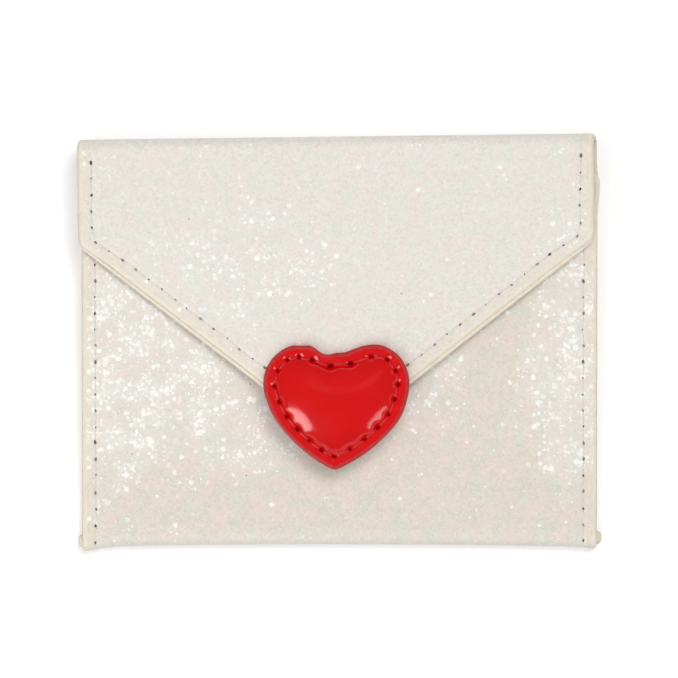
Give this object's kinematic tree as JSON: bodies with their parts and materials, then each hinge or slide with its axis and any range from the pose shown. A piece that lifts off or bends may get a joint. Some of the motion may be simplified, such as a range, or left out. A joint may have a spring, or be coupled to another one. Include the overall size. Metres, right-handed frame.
{
  "type": "envelope purse",
  "caption": "Small envelope purse: folded body with inward gussets, pointed flap over the front, hidden press stud and padded heart on the flap's tip.",
  "frame": {"origin": "on the surface that the purse lies on, below the middle of its outline", "axes": "+X across the purse to the right as seen from the front, +Y from the bottom fold to the top fold, +Z out of the front"},
  "size_m": [0.1067, 0.0848, 0.0154],
  "materials": {
    "glitter_sheet": "glitter-coated imitation leather",
    "lining": "matt cream imitation leather",
    "gusset": "matt cream imitation leather",
    "heart_backing": "matt red, painted edge",
    "heart_patent": "red patent",
    "heart_foam": "soft padding",
    "snap_metal": "pale plated metal",
    "spring_steel": "bright wire"
  },
  "bodies": {
    "back": {"back_panel": "glitter_sheet", "back_lining": "lining", "left_gusset_back_seam": "gusset", "right_gusset_back_seam": "gusset"},
    "spine": {"top_fold": "glitter_sheet", "top_fold_lining": "lining"},
    "flap": {"flap_panel": "glitter_sheet", "flap_lining": "lining", "heart_back": "heart_backing", "heart_pad": "heart_foam", "heart_face": "heart_patent", "snap_cap": "snap_metal", "snap_socket": "snap_metal", "snap_spring": "spring_steel"},
    "front": {"front_panel": "glitter_sheet", "front_lining": "lining", "left_gusset_front_seam": "gusset", "right_gusset_front_seam": "gusset", "snap_stud": "snap_metal", "snap_post": "snap_metal"},
    "left_rear_leaf": {"left_gusset_rear_leaf": "gusset"},
    "left_front_leaf": {"left_gusset_front_leaf": "gusset"},
    "right_rear_leaf": {"right_gusset_rear_leaf": "gusset"},
    "right_front_leaf": {"right_gusset_front_leaf": "gusset"}
  },
  "joints": [
    {"name": "top_fold_bend", "type": "hinge", "parent": "back", "child": "spine", "pos_m": [-0.00044, 0.04104, 0.00073], "axis": [-0.9999, -0.0122, 0], "range_deg": [0, 90]},
    {"name": "flap_bend", "type": "hinge", "parent": "spine", "child": "flap", "pos_m": [-0.00044, 0.04104, 0.01167], "axis": [-0.9999, -0.0122, 0], "range_deg": [0, 85]},
    {"name": "mouth_opening", "type": "hinge", "parent": "back", "child": "front", "pos_m": [0.00045, -0.04027, 0.00215], "axis": [1, 0, 0], "range_deg": [0, 6]},
    {"name": "left_rear_leaf_bend", "type": "hinge", "parent": "back", "child": "left_rear_leaf", "pos_m": [-0.04905, -0.04027, 0.00215], "axis": [0, -1, 0], "range_deg": [0, 25.62]},
    {"name": "left_crease_bend", "type": "hinge", "parent": "left_rear_leaf", "child": "left_front_leaf", "pos_m": [-0.04905, -0.04027, 0.00215], "axis": [0.128, 0.9912, 0.0331], "range_deg": [0, 51.49]},
    {"name": "right_rear_leaf_bend", "type": "hinge", "parent": "back", "child": "right_rear_leaf", "pos_m": [0.04995, -0.04027, 0.00215], "axis": [0, 1, 0], "range_deg": [0, 25.62]},
    {"name": "right_crease_bend", "type": "hinge", "parent": "right_rear_leaf", "child": "right_front_leaf", "pos_m": [0.04995, -0.04027, 0.00215], "axis": [0.128, -0.9912, -0.0331], "range_deg": [0, 51.49]}
  ],
  "couplings": [
    {"joint": "flap_bend", "follows": "top_fold_bend", "ratio": 0.94444},
    {"joint": "mouth_opening", "follows": "top_fold_bend", "ratio": 0.066667},
    {"joint": "left_rear_leaf_bend", "follows": "top_fold_bend", "ratio": 0.28467},
    {"joint": "left_crease_bend", "follows": "top_fold_bend", "ratio": 0.57214},
    {"joint": "right_rear_leaf_bend", "follows": "top_fold_bend", "ratio": 0.28467},
    {"joint": "right_crease_bend", "follows": "top_fold_bend", "ratio": 0.57214}
  ]
}
